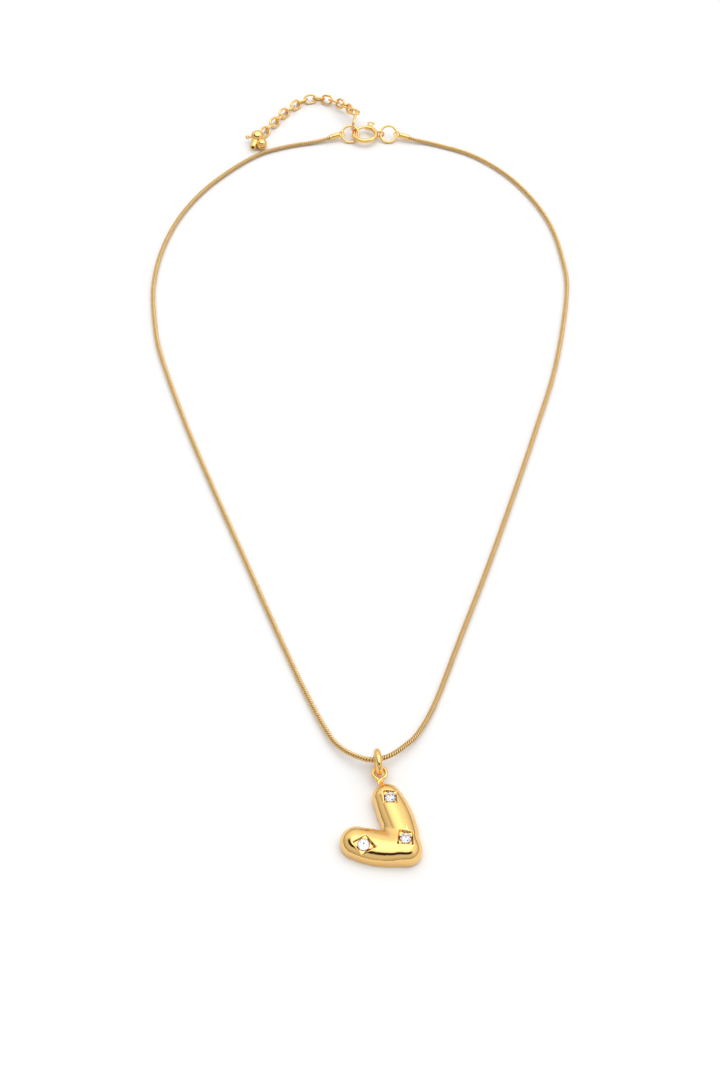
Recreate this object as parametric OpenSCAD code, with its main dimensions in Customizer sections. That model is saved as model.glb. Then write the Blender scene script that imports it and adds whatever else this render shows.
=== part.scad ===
// Pendant necklace: a snake chain with end caps, a spring ring clasp, an extender
// chain with an end drop, and a puffed heart pendant with three round stones.
// It lies flat on the plane z = 0, the clasp towards +Y, the pendant at the origin.

/* [Snake chain] */
// Diameter of the snake chain
chain_d = 0.95; // [0.6:0.05:1.3]

/* [End caps] */
// Outside diameter of an end cap's barrel
cap_d = 1.25; // [1.1:0.05:1.8]
// Wall left round the chain inside a cap, as radial clearance
cap_gap = 0.01; // [0.01:0.01:0.05]
// Length of a cap's barrel
cap_len = 2.4; // [1.8:0.1:4]
// Wire diameter of a cap's eye
cap_eye_wire = 0.35; // [0.25:0.05:0.5]
// Inside diameter of a cap's eye
cap_eye_id = 0.86; // [0.8:0.02:1.4]

/* [Jump rings] */
// Outside diameter of the end rings
ring_od = 4.25; // [3.6:0.05:5.2]
// Wire diameter of the end rings and the connector link
ring_wire = 0.5; // [0.35:0.05:0.6]
// Angle of the end rings above the table
ring_lean = 36; // [30:1:50]
// Length of the connector link over its wire
connector_len = 5.2; // [4.6:0.1:6.4]
// Width of the connector link over its wire
connector_w = 3.0; // [2.6:0.1:4]

/* [Spring ring clasp] */
// Outside diameter of the clasp
clasp_od = 6.0; // [5:0.1:7.5]
// Outside diameter of the clasp's tube
tube_d = 1.0; // [0.8:0.05:1.3]
// Wall of the clasp's tube
tube_wall = 0.16; // [0.1:0.02:0.2]
// Diameter of the bolt that closes the clasp
bolt_d = 0.56; // [0.4:0.02:0.6]
// Turn of the bolt from closed to open
bolt_travel = 48; // [30:1:52]
// Wire diameter of the clasp's eye
eye_wire = 0.4; // [0.3:0.05:0.6]
// Inside diameter of the clasp's eye
eye_id = 1.04; // [0.96:0.02:1.5]

/* [Extender] */
// Length of one extender link over its wire
link_len = 3.1; // [2.6:0.1:4]
// Width of one extender link over its wire
link_w = 2.3; // [2:0.1:3]
// Wire diameter of an extender link
link_wire = 0.5; // [0.35:0.05:0.55]
// Clearance between two links where one runs in the other
link_gap = 0.08; // [0.05:0.01:0.2]

/* [End drop] */
// Diameter of the drop's ball
ball_d = 3.1; // [2:0.1:4]
// Diameter of the smaller bead beside the ball
bead_d = 2.4; // [1.5:0.1:3]
// Outside diameter of the drop's tube
drop_tube_d = 1.5; // [1:0.1:2]
// Diameter of the drop's pin
pin_d = 0.4; // [0.3:0.05:0.5]

/* [Bail] */
// Outside diameter of the bail ring
bail_od = 4.6; // [4.4:0.1:6]
// Wire diameter of the bail ring
bail_wire = 1.1; // [0.6:0.05:1.2]
// Clearance between the bail and the chain in it
bail_gap = 0.075; // [0.05:0.01:0.2]

/* [Heart] */
// Thickness of the heart from its flat back to its crown
heart_t = 3.25; // [3:0.05:4]
// Height of the heart's upright side wall
heart_wall = 1.55; // [1.2:0.05:1.8]
// Radius of the upper lobe
upper_r = 2.35; // [1.8:0.05:2.8]
// Radius of the left lobe
left_r = 2.55; // [1.8:0.05:2.8]
// Radius at the heart's tip
tip_r = 2.15; // [1.6:0.05:2.6]
// Outside diameter of the soldered loop
loop_od = 2.6; // [2.4:0.05:3.2]
// Wire diameter of the soldered loop
loop_wire = 0.55; // [0.4:0.05:0.6]
// Height of the soldered loop's centre
loop_z = 1.7; // [1.5:0.05:2]

/* [Stones] */
// Diameter of a stone at its girdle
stone_d = 1.75; // [1.2:0.05:2]
// Clearance round a stone in its seat
stone_gap = 0.03; // [0.02:0.01:0.1]
// Reach of a star recess from its centre to a point
star_reach = 1.8; // [1.4:0.05:2]

/* [Hidden] */

$fn = 48;
GOLD = "#e6b95c";
STONE = "#e8f2fa";
NUDGE = 0.01;

// Route of the chain's centre, from the left end cap round by the bail to the right end cap.
route = [
    [-10.85, 177.85, 1.17], [-13.7, 177, 0.73], [-16.6, 176.35, 0.5], [-20.2, 175.45, 0.5],
    [-24.2, 174, 0.5], [-28, 171.9, 0.5], [-33.2, 167, 0.5], [-39.1, 159.5, 0.5],
    [-43.7, 150.5, 0.5], [-46.6, 140.1, 0.5], [-47.6, 129.2, 0.5], [-46.6, 118.4, 0.5],
    [-44.5, 108.1, 0.5], [-38.4, 89.5, 0.5], [-32.1, 72.7, 0.5], [-26, 57.1, 0.5],
    [-20.3, 42.5, 0.5], [-14.9, 29.1, 0.5], [-10.4, 19.3, 0.9], [-7.9, 15.9, 1.4],
    [-4.7, 13.8, 2.02], [-2.4, 13.5, 2.17], [-0.2, 14.4, 2], [2.1, 16.5, 1.5],
    [4.3, 19.3, 0.95], [7.3, 25.6, 0.5], [12.1, 39.3, 0.5], [17.3, 54.1, 0.5],
    [22.5, 69.9, 0.5], [27.9, 87, 0.5], [33.3, 105.5, 0.5], [37.1, 126.4, 0.5],
    [37, 137.5, 0.5], [35.2, 148.3, 0.5], [31.3, 158, 0.5], [25.9, 166.1, 0.5],
    [19.2, 172.2, 0.5], [11.4, 175.9, 0.5], [7.4, 177, 0.74], [4.6, 177.85, 1.17]
];
BAIL_POINT = 21;
LAST = len(route) - 1;
chain_sides = 8;
chain_steps = 2;

// A point on the smooth curve through the route, t of the way from point i to the next.
function at_end(i) = min(max(i, 0), LAST);
function smooth(a, b, c, d, t) = 0.5 * (2 * b + (c - a) * t
    + (2 * a - 5 * b + 4 * c - d) * pow(t, 2) + (3 * b - a - 3 * c + d) * pow(t, 3));
function along(i, t) =
    smooth(route[at_end(i - 1)], route[i], route[at_end(i + 1)], route[at_end(i + 2)], t);
function unit(v) = v / norm(v);
UP = [0, 0, 1];

// Frames: the columns of a matrix that carries X, Y and Z to e1, e2 and e3, and the origin to p.
function carry(e1, e2, e3, p) = [
    [e1.x, e2.x, e3.x, p.x],
    [e1.y, e2.y, e3.y, p.y],
    [e1.z, e2.z, e3.z, p.z],
    [0, 0, 0, 1]
];

// A tube swept along a line of points, with its ends closed; refs, where given, hold for each
// point a direction that the line there never runs along.
function line_dir(line, i) =
    unit(line[min(i + 1, len(line) - 1)] - line[max(i - 1, 0)]);
module sweep(line, r, sides, refs = []) {
    n = len(line);
    rings = [for (i = [0:n - 1])
        let (d = line_dir(line, i), ref = len(refs) > 0 ? refs[i] : UP,
            s = unit(cross(d, ref)), u = cross(s, d))
        [for (k = [0:sides - 1]) line[i] + r * (cos(360 * (k + 0.5) / sides) * s
            + sin(360 * (k + 0.5) / sides) * u)]];
    points = [for (ring = rings) for (p = ring) p];
    sides_faces = [for (i = [0:n - 2]) for (k = [0:sides - 1])
        let (a = i * sides + k, b = i * sides + (k + 1) % sides)
        [a, b, b + sides, a + sides]];
    start = [for (k = [0:sides - 1]) sides - 1 - k];
    finish = [for (k = [0:sides - 1]) (n - 1) * sides + k];
    polyhedron(points = points, faces = concat(sides_faces, [start], [finish]));
}

// A round ring of wire in the XY plane.
module wire_ring(od, wire) {
    rotate_extrude() translate([(od - wire) / 2, 0]) circle(d = wire);
}

// An oval link of wire in the XY plane, its length along X.
module oval_link(length, width, wire) {
    bend_r = (width - wire) / 2;
    straight = length - width;
    for (side = [-1, 1]) {
        translate([side * straight / 2, 0, 0]) rotate([0, 0, -90 * side])
            rotate_extrude(angle = 180) translate([bend_r, 0]) circle(d = wire);
        translate([-straight / 2, side * bend_r, 0]) rotate([0, 90, 0])
            cylinder(d = wire, h = straight);
    }
}

// ---- places round the clasp ----
ring_r = (ring_od - ring_wire) / 2;
ring_z = ring_r * sin(ring_lean) + ring_wire / 2 + 0.05;
clasp_r = (clasp_od - tube_d) / 2;
clasp_c = [-4.1, 178.3, ring_z];
hook_gap = 0.34;
hook = clasp_c - [clasp_r, 0, 0];
hook_reach = 2 * ring_r - (tube_d + ring_wire) / 2 - hook_gap;
eye_r = (eye_id + eye_wire) / 2;
eye_c = clasp_c + [clasp_od / 2 + 0.45, 0, 0];

// Distance from p along the unit vector d to the point that is r from c, on the near side.
function reach(p, d, c, r) = let (b = (c - p) * d) b - sqrt(r * r - norm(c - p) ^ 2 + b * b);
left_dir = unit(route[0] - route[1]);
right_dir = unit(route[LAST] - route[LAST - 1]);
left_eye = route[0] + left_dir * reach(route[0], left_dir, hook, hook_reach);
right_eye = route[LAST] + right_dir * reach(route[LAST], right_dir, eye_c, 2 * ring_r);

// An end ring's frame: X from its cap's eye towards the clasp, Y up its leaning plane.
function ring_frame(eye, other) =
    let (e1 = unit(other - eye), flat = unit(cross(UP, e1)) * (e1.x > 0 ? 1 : -1),
        e2 = unit(flat * cos(ring_lean) + UP * sin(ring_lean)),
        e2s = unit(e2 - e1 * (e1 * e2)))
    carry(e1, e2s, cross(e1, e2s), eye + e1 * ring_r);

// A cap's frame: X along the chain towards the eye, Z along the wire that runs in the eye.
function cap_frame(dir, eye, ring_m) =
    let (w = [ring_m[0][1], ring_m[1][1], ring_m[2][1]], z = unit(w - dir * (w * dir)))
    carry(dir, cross(z, dir), z, eye);

left_ring_m = ring_frame(left_eye, hook);
right_ring_m = ring_frame(right_eye, eye_c);

// ---- places round the extender ----
run_gap = 0.08;
hang = (connector_len - ring_wire) / 2 - ring_wire - run_gap;
hook_turn = 74;
hook_point = move(left_ring_m, ring_r * [cos(hook_turn), sin(hook_turn), 0]);
connector_dir = unit([0.6, 3.42, 0.6]);
connector_c = hook_point + hang * connector_dir;
connector_end = connector_c + (connector_len - ring_wire) / 2 * connector_dir;
connector_lean = 14;
connector_side = unit(cross(connector_dir, UP));
connector_up = cross(connector_side, connector_dir) * cos(connector_lean)
    + connector_side * sin(connector_lean);

link_bend = (link_w - link_wire) / 2;
link_pitch = link_len - 2 * link_wire - link_gap;
link_end = (link_len - link_wire) / 2;
first_link = link_end - link_wire - link_gap - 0.12;
link_z = link_bend * sin(45) + link_wire / 2 + 0.02;
link_count = 16;

// Line along which the extender lies, from the connector ring to the end drop. Its points
// suit links with a pitch of RUN_PITCH, and the line grows and shrinks with the links.
RUN_PITCH = 2.02;
run_share = link_pitch / RUN_PITCH;
extender_line = concat([connector_end], [for (p = [
    [-7.2, 185.3, 2.85], [-8.8, 188, 2.1], [-10.6, 190.2, 1.5], [-12.3, 191.4, 1.15],
    [-14.1, 192.2, 0.95], [-15.7, 192.3, 0], [-17.4, 191.9, 0], [-19, 190.9, 0],
    [-20.6, 189.1, 0], [-21.9, 187.6, 0], [-23, 186.1, 0], [-23.8, 184.5, 0],
    [-24.8, 182.9, 0], [-25.7, 181.6, 0], [-26.4, 180.2, 0], [-27.7, 177.9, 0],
    [-29.2, 175.3, 0]
]) [connector_end.x + (p.x - connector_end.x) * run_share,
    connector_end.y + (p.y - connector_end.y) * run_share, max(p.z, link_z)]]);
extender_steps = 8;
function on_line(line, i, t) = let (n = len(line) - 1) smooth(line[max(i - 1, 0)], line[i],
    line[min(i + 1, n)], line[min(i + 2, n)], t);
extender_dense = [for (i = [0:len(extender_line) - 2]) for (k = [0:extender_steps - 1])
    on_line(extender_line, i, k / extender_steps)];
extender_run = [for (i = 0, s = 0; i < len(extender_dense);
    s = s + norm(extender_dense[min(i + 1, len(extender_dense) - 1)] - extender_dense[i]),
    i = i + 1) s];
function axis_table(a) = [for (i = [0:len(extender_run) - 1])
    [extender_run[i], extender_dense[i][a]]];
run_x = axis_table(0);
run_y = axis_table(1);
run_z = axis_table(2);
function at_length(s) = [lookup(s, run_x), lookup(s, run_y), lookup(s, run_z)];

// Links lie rolled by turns to either side; the first ones follow the connector's turn.
FIRST_ROLLS = [5, -72, 26, -56, 40];
function link_roll(k) = k < len(FIRST_ROLLS) ? FIRST_ROLLS[k] : k % 2 == 0 ? 45 : -45;

// Frame of extender link k, counted from 0: X along the link, Y across its opening.
function link_centre(k) = at_length(first_link + k * link_pitch);
function link_frame(k) =
    let (s = first_link + k * link_pitch,
        t = unit(at_length(s + link_pitch / 2) - at_length(s - link_pitch / 2)),
        level = unit(cross(UP, t)), lift = cross(t, level), roll = link_roll(k),
        e2 = level * cos(roll) + lift * sin(roll))
    carry(t, e2, cross(t, e2), link_centre(k));

// ---- places round the drop ----
drop_eye_wire = 0.35;
drop_eye_id = 0.76;
drop_eye_r = (drop_eye_id + drop_eye_wire) / 2;
last_link = link_frame(link_count - 1);
drop_eye_c = move(last_link, [link_end, 0, 0]);
drop_hang = drop_eye_r + ball_d / 2 - 0.1;
drop_rise = ball_d / 2 - drop_eye_c.z;
drop_flat = unit([last_link[0][0], last_link[1][0], 0]);
ball_c = drop_eye_c + drop_flat * sqrt(drop_hang ^ 2 - drop_rise ^ 2) + UP * drop_rise;
bead_turn = -64;
bead_away = (ball_d + bead_d) / 2 - 0.42;
bead_drop = (bead_d - ball_d) / 2;
bead_c = ball_c + sqrt(bead_away ^ 2 - bead_drop ^ 2) * [cos(bead_turn), sin(bead_turn), 0]
    + UP * bead_drop;
drop_tube_dir = unit([-0.3, -0.93, -0.2]);
drop_tube_reach = 3.1;
drop_tube_bore = 0.76;

// ---- places round the pendant ----
bail_r = (bail_od - bail_wire) / 2;
chain_point = route[BAIL_POINT];
chain_pull = unit(route[BAIL_POINT + 1] - route[BAIL_POINT - 1]);
bail_n = unit([chain_pull.x, chain_pull.y, 0]);
bail_h = cross(bail_n, UP);
bail_hang = bail_r - (bail_wire + chain_d) / 2 - bail_gap;
bail_dip = 12;
bail_c = chain_point + bail_hang * (cos(bail_dip) * bail_h + sin(bail_dip) * UP);
loop_r = (loop_od - loop_wire) / 2;
loop_slack = 0.02;
loop_rise = loop_z - bail_c.z;
loop_reach = sqrt(bail_r ^ 2 - loop_rise ^ 2) + loop_slack;
loop_c = bail_c + bail_h * loop_reach + UP * loop_rise;
stem_d = 0.5;

// Heart: the ridge of each lobe runs from its end to the tip.
upper_c = [-0.95, 7];
upper_mid = [0.75, 2.6];
left_c = [-5.75, -0.85];
left_mid = [-2.1, -1.8];
tip_c = [2.1, -2.35];
mid_r = 2.7;
heart_crown = heart_t - heart_wall;

// Stones: place of each stone's centre, its tilt towards -Y, and the turn of its star.
stone_upper_at = [-0.45, 6.15, 2.98];
stone_upper_turn = 45;
stone_tip_at = [1.85, -1.1, 2.92];
stone_tip_turn = 40;
stone_left_at = [-4.65, -2.2, 2.8];
stone_left_tilt = 20;
stone_left_turn = -12;
girdle = 0.12;
crown_h = 0.3;
pavilion_h = 0.72;
table_share = 0.56;

function move(m, p) = let (q = m * [p.x, p.y, p.z, 1]) [q.x, q.y, q.z];

// ---- the pieces ----
module snake_chain() {
    line = [for (i = [0:LAST - 1]) for (k = [0:chain_steps - 1]) along(i, k / chain_steps)];
    color(GOLD) sweep(concat(line, [route[LAST]]), chain_d / 2, chain_sides);
}

// An end cap with its eye's centre at the origin and its barrel along -X.
module end_cap() {
    barrel_x = -cap_eye_id / 2 - 0.07;
    floor_len = 0.3;
    color(GOLD) {
        wire_ring(cap_eye_id + 2 * cap_eye_wire, cap_eye_wire);
        translate([barrel_x - cap_len, 0, 0]) rotate([0, 90, 0]) difference() {
            cylinder(d = cap_d, h = cap_len);
            translate([0, 0, -1])
                cylinder(r = chain_d / 2 + cap_gap, h = cap_len + 1 - floor_len);
        }
    }
}

module end_cap_left() {
    multmatrix(cap_frame(left_dir, left_eye, left_ring_m)) end_cap();
}

module end_cap_right() {
    multmatrix(cap_frame(right_dir, right_eye, right_ring_m)) end_cap();
}

module end_ring_left() {
    color(GOLD) multmatrix(left_ring_m) wire_ring(ring_od, ring_wire);
}

module end_ring_right() {
    color(GOLD) multmatrix(right_ring_m) wire_ring(ring_od, ring_wire);
}

// A stretch of a round bar bent about the clasp's centre, from one angle to another.
module clasp_arc(from, to) {
    rotate([0, 0, from]) rotate_extrude(angle = to - from) translate([clasp_r, 0])
        children();
}

gap_from = 85;
gap_to = 150;
nub_turn = 70;
bolt_from = 60;
bolt_to = 156;
slot_w = 0.36;

module clasp_body() {
    color(GOLD) translate(clasp_c) difference() {
        clasp_arc(gap_to, 360 + gap_from) difference() {
            circle(d = tube_d);
            circle(d = tube_d - 2 * tube_wall);
        }
        rotate([0, 0, nub_turn - bolt_travel - 4]) rotate_extrude(angle = bolt_travel + 8)
            translate([clasp_r, -slot_w / 2]) square([tube_d, slot_w]);
    }
}

module clasp_eye() {
    color(GOLD) translate(eye_c) rotate([90, 0, 0]) wire_ring(eye_id + 2 * eye_wire, eye_wire);
}

nub_d = 0.26;
nub_loop_od = 1.3;
nub_loop_wire = 0.3;

module clasp_trigger() {
    nub_reach = clasp_od / 2 + 0.15;
    color(GOLD) translate(clasp_c) {
        clasp_arc(bolt_from, bolt_to) circle(d = bolt_d);
        rotate([0, 0, nub_turn]) {
            translate([clasp_r, 0, 0]) rotate([0, 90, 0])
                cylinder(d = nub_d, h = nub_reach - clasp_r + 0.1);
            translate([nub_reach + nub_loop_od / 2, 0, 0])
                wire_ring(nub_loop_od, nub_loop_wire);
        }
    }
}

spring_wire = 0.12;
spring_d = 0.52;
spring_turns = 10;
spring_to = -30;
spring_steps = 10;

module clasp_spring() {
    count = spring_turns * spring_steps;
    coil_r = (spring_d - spring_wire) / 2;
    line = [for (i = [0:count])
        let (a = bolt_from - 1 + (spring_to - bolt_from) * i / count,
            b = 360 * i / spring_steps, r = clasp_r + coil_r * cos(b))
        clasp_c + [r * cos(a), r * sin(a), coil_r * sin(b)]];
    axes = [for (i = [0:count])
        let (a = bolt_from - 1 + (spring_to - bolt_from) * i / count)
        [-sin(a), cos(a), 0]];
    color("silver") sweep(line, spring_wire / 2, 5, axes);
}

module connector_ring() {
    color(GOLD) multmatrix(carry(connector_dir, connector_up,
        cross(connector_dir, connector_up), connector_c))
        oval_link(connector_len, connector_w, ring_wire);
}

module extender_link(k) {
    color(GOLD) multmatrix(link_frame(k)) oval_link(link_len, link_w, link_wire);
}

module drop_ball() {
    to_ball = unit(ball_c - drop_eye_c);
    across = [last_link[0][1], last_link[1][1], last_link[2][1]];
    up = unit(across - to_ball * (across * to_ball));
    color(GOLD) difference() {
        union() {
            translate(ball_c) sphere(d = ball_d);
            multmatrix(carry(to_ball, cross(up, to_ball), up, drop_eye_c))
                wire_ring(drop_eye_id + 2 * drop_eye_wire, drop_eye_wire);
        }
        translate(ball_c) rotate([0, -90, 0]) cylinder(r = pin_d / 2 + 0.02, h = ball_d);
    }
}

module drop_bead() {
    color(GOLD) difference() {
        translate(bead_c) sphere(d = bead_d);
        translate(ball_c) sphere(d = ball_d + 2 * NUDGE);
    }
}

module drop_tube() {
    side = unit(cross(UP, drop_tube_dir));
    color(GOLD) difference() {
        multmatrix(carry(side, cross(drop_tube_dir, side), drop_tube_dir, ball_c))
            difference() {
                cylinder(d = drop_tube_d, h = drop_tube_reach);
                translate([0, 0, ball_d / 2 + 0.2])
                    cylinder(d = drop_tube_bore, h = drop_tube_reach);
            }
        translate(ball_c) sphere(d = ball_d + 2 * NUDGE);
        translate(bead_c) sphere(d = bead_d + 2 * NUDGE);
    }
}

module drop_pin() {
    curl_od = 1.0;
    curl_wire = 0.32;
    reach = ball_d / 2 + 0.35;
    color(GOLD) translate(ball_c) {
        translate([-reach, 0, 0]) rotate([0, 90, 0]) cylinder(d = pin_d, h = reach - 0.1);
        translate([-reach - curl_od / 2 + 0.2, 0, 0]) rotate([90, 0, 0])
            wire_ring(curl_od, curl_wire);
    }
}

module bail_ring() {
    color(GOLD) multmatrix(carry(bail_h, UP, bail_n, bail_c)) wire_ring(bail_od, bail_wire);
}

// Places across a puff where its dome has a facet edge, as shares of its radius.
DOME_SHARES = [1, 0.88, 0.72, 0.53, 0.32, 0.12];

// One puffed end of a lobe: an upright wall with a low dome that meets it at an edge.
module puff(c, r) {
    dome_r = (r * r + heart_crown * heart_crown) / (2 * heart_crown);
    dome = [for (share = DOME_SHARES) [r * share,
        heart_t - dome_r + sqrt(dome_r ^ 2 - (r * share) ^ 2)]];
    translate([c.x, c.y, 0]) rotate_extrude($fn = 32)
        polygon(concat([[0, 0], [r, 0]], dome, [[0, heart_t]]));
}

module lobe(a, ra, b, rb) {
    hull() {
        puff(a, ra);
        puff(b, rb);
    }
}

// A shallow four-pointed recess and the seat of the stone in it.
module stone_seat() {
    deep = 0.45;
    waist = star_reach * 0.62;
    star = [for (i = [0:7]) let (r = i % 2 == 0 ? star_reach : waist)
        r * [cos(45 * i), sin(45 * i)]];
    translate([0, 0, -0.18]) linear_extrude(deep + 1) polygon(star);
    translate([0, 0, -crown_h - pavilion_h - 0.1])
        cylinder(d = stone_d + 2 * stone_gap, h = 2);
}

module at_stone(p, tilt, turn) {
    translate(p) rotate([tilt, 0, 0]) rotate([0, 0, turn]) children();
}

module heart_body() {
    color(GOLD) difference() {
        union() {
            lobe(upper_c, upper_r, upper_mid, mid_r);
            lobe(upper_mid, mid_r, tip_c, tip_r);
            lobe(left_c, left_r, left_mid, mid_r);
            lobe(left_mid, mid_r, tip_c, tip_r);
        }
        at_stone(stone_upper_at, 0, stone_upper_turn) stone_seat();
        at_stone(stone_tip_at, 0, stone_tip_turn) stone_seat();
        at_stone(stone_left_at, stone_left_tilt, stone_left_turn) stone_seat();
    }
}

module heart_loop() {
    color(GOLD) {
        translate(loop_c) wire_ring(loop_od, loop_wire);
        for (side = [-1, 1]) translate([loop_c.x + side * 0.35, loop_c.y - loop_r, loop_z])
            rotate([90, 0, 0]) cylinder(d = stem_d, h = 1.6);
    }
}

// A brilliant-cut stone with its girdle's upper edge at the origin.
module stone() {
    sides = 16;
    color(STONE) {
        cylinder(d1 = stone_d, d2 = stone_d * table_share, h = crown_h, $fn = sides);
        translate([0, 0, -girdle]) cylinder(d = stone_d, h = girdle, $fn = sides);
        translate([0, 0, -girdle - pavilion_h])
            cylinder(d1 = 0.1, d2 = stone_d, h = pavilion_h, $fn = sides);
    }
}

module stone_upper() {
    at_stone(stone_upper_at, 0, stone_upper_turn) stone();
}

module stone_tip() {
    at_stone(stone_tip_at, 0, stone_tip_turn) stone();
}

module stone_left() {
    at_stone(stone_left_at, stone_left_tilt, stone_left_turn) stone();
}

snake_chain();
end_cap_left();
end_cap_right();
end_ring_left();
end_ring_right();
clasp_body();
clasp_eye();
clasp_trigger();
clasp_spring();
connector_ring();
extender_link(0);  // extender_link_01
extender_link(1);  // extender_link_02
extender_link(2);  // extender_link_03
extender_link(3);  // extender_link_04
extender_link(4);  // extender_link_05
extender_link(5);  // extender_link_06
extender_link(6);  // extender_link_07
extender_link(7);  // extender_link_08
extender_link(8);  // extender_link_09
extender_link(9);  // extender_link_10
extender_link(10);  // extender_link_11
extender_link(11);  // extender_link_12
extender_link(12);  // extender_link_13
extender_link(13);  // extender_link_14
extender_link(14);  // extender_link_15
extender_link(link_count - 1);  // drop_link
drop_ball();
drop_bead();
drop_tube();
drop_pin();
bail_ring();
heart_body();
heart_loop();
stone_upper();
stone_tip();
stone_left();
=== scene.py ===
"""Pendant necklace: a snake chain with a spring ring clasp, an extender with an end drop,
and a puffed heart pendant set with three stones, lying flat on a pale table.

Lengths inside this file are millimetres unless a name says otherwise; MM turns them into
Blender's metres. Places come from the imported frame."""

import math

import bmesh
import bpy
import numpy as np
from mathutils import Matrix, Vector


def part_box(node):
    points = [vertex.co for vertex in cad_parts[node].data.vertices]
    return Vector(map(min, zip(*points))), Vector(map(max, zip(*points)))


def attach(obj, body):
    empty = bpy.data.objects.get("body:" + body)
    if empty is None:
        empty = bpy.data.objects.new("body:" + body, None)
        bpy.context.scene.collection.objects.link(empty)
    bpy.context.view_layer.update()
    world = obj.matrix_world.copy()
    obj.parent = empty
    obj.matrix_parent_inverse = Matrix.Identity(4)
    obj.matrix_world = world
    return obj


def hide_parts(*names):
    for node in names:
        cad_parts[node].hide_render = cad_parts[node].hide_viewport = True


bl_info = {
    "name": "Pendant Necklace",
    "version": (1, 0, 0),
    "blender": (4, 5, 0),
    "location": "3D View > Sidebar > Necklace",
    "description": "Snake chain, spring ring clasp, extender and heart pendant",
    "category": "Add Mesh",
}

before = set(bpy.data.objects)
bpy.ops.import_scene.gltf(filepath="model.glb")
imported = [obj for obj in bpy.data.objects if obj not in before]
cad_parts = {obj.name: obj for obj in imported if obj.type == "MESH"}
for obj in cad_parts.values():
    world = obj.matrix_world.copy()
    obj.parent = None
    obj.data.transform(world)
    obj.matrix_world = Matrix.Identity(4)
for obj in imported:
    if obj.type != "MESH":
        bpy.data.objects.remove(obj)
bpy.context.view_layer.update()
MM = 0.001
TAU = 2 * math.pi
LINKS = [f"extender_link_{k:02d}" for k in range(1, 16)]

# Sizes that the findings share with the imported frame.
RING_WIRE = 0.5
CAP_EYE_WIRE = 0.35
CAP_EYE_ID = 0.86
CAP_D = 1.25
CAP_LEN = 2.4
CLASP_R = 3.0
CLASP_TUBE = 1.0
CLASP_EYE_WIRE = 0.4
CLASP_MOUTH = (150, 445)
BOLT_D = 0.56
BOLT_SPAN = (60, 156)
NUB_TURN = 70
STONE_D = 1.75

# The chain's centre line, from the left end cap round by the bail to the right end cap.
ROUTE = [
    (-10.85, 177.85, 1.17), (-13.7, 177, 0.73), (-16.6, 176.35, 0.5), (-20.2, 175.45, 0.5),
    (-24.2, 174, 0.5), (-28, 171.9, 0.5), (-33.2, 167, 0.5), (-39.1, 159.5, 0.5),
    (-43.7, 150.5, 0.5), (-46.6, 140.1, 0.5), (-47.6, 129.2, 0.5), (-46.6, 118.4, 0.5),
    (-44.5, 108.1, 0.5), (-38.4, 89.5, 0.5), (-32.1, 72.7, 0.5), (-26, 57.1, 0.5),
    (-20.3, 42.5, 0.5), (-14.9, 29.1, 0.5), (-10.4, 19.3, 0.9), (-7.9, 15.9, 1.4),
    (-4.7, 13.8, 2.02), (-2.4, 13.5, 2.17), (-0.2, 14.4, 2), (2.1, 16.5, 1.5),
    (4.3, 19.3, 0.95), (7.3, 25.6, 0.5), (12.1, 39.3, 0.5), (17.3, 54.1, 0.5),
    (22.5, 69.9, 0.5), (27.9, 87, 0.5), (33.3, 105.5, 0.5), (37.1, 126.4, 0.5),
    (37, 137.5, 0.5), (35.2, 148.3, 0.5), (31.3, 158, 0.5), (25.9, 166.1, 0.5),
    (19.2, 172.2, 0.5), (11.4, 175.9, 0.5), (7.4, 177, 0.74), (4.6, 177.85, 1.17),
]


# ---------------------------------------------------------------- settings

class NecklaceSizes(bpy.types.PropertyGroup):
    """Sizes of the chain, the wire and the heart's surface."""

    chain_d: bpy.props.FloatProperty(
        name="Chain diameter", description="Outside diameter of the snake chain",
        default=0.95 * MM, unit="LENGTH")
    scale_pitch: bpy.props.FloatProperty(
        name="Scale pitch", description="Distance from one chain scale to the next",
        default=0.45 * MM, unit="LENGTH")
    scale_wave: bpy.props.FloatProperty(
        name="Scale wave", description="How far a chain scale waves along the chain",
        default=0.2 * MM, unit="LENGTH")
    wire_gap: bpy.props.FloatProperty(
        name="Seam gap", description="Opening of the cut where a ring of wire closes",
        default=0.03 * MM, unit="LENGTH")
    heart_edge: bpy.props.FloatProperty(
        name="Heart edge", description="Rounding where the heart's dome meets its upright wall",
        default=0.16 * MM, unit="LENGTH")
    heart_blend: bpy.props.FloatProperty(
        name="Lobe blend", description="How softly the heart's two lobes run together",
        default=0.9 * MM, unit="LENGTH")
    star_round: bpy.props.FloatProperty(
        name="Star edge", description="Rounding of the edges of the star recesses",
        default=0.07 * MM, unit="LENGTH")


class NecklaceColours(bpy.types.PropertyGroup):
    """Colours and polish of the necklace and its table."""

    gold: bpy.props.FloatVectorProperty(
        name="Gold", description="Colour of the polished pendant and findings",
        subtype="COLOR", size=3, default=(0.93, 0.60, 0.22))
    chain_gold: bpy.props.FloatVectorProperty(
        name="Chain gold", description="Colour of the snake chain",
        subtype="COLOR", size=3, default=(0.95, 0.66, 0.30))
    polish: bpy.props.FloatProperty(
        name="Polish", description="Roughness of the polished gold",
        default=0.06, min=0.0, max=1.0, subtype="FACTOR")
    stone: bpy.props.FloatVectorProperty(
        name="Stone", description="Colour of the clear stones",
        subtype="COLOR", size=3, default=(0.82, 0.86, 0.96))
    table: bpy.props.FloatVectorProperty(
        name="Table", description="Colour of the table",
        subtype="COLOR", size=3, default=(0.84, 0.84, 0.84))


def sizes():
    return bpy.context.scene.necklace_sizes


def colours():
    return bpy.context.scene.necklace_colours


# ---------------------------------------------------------------- shader helpers

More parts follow.
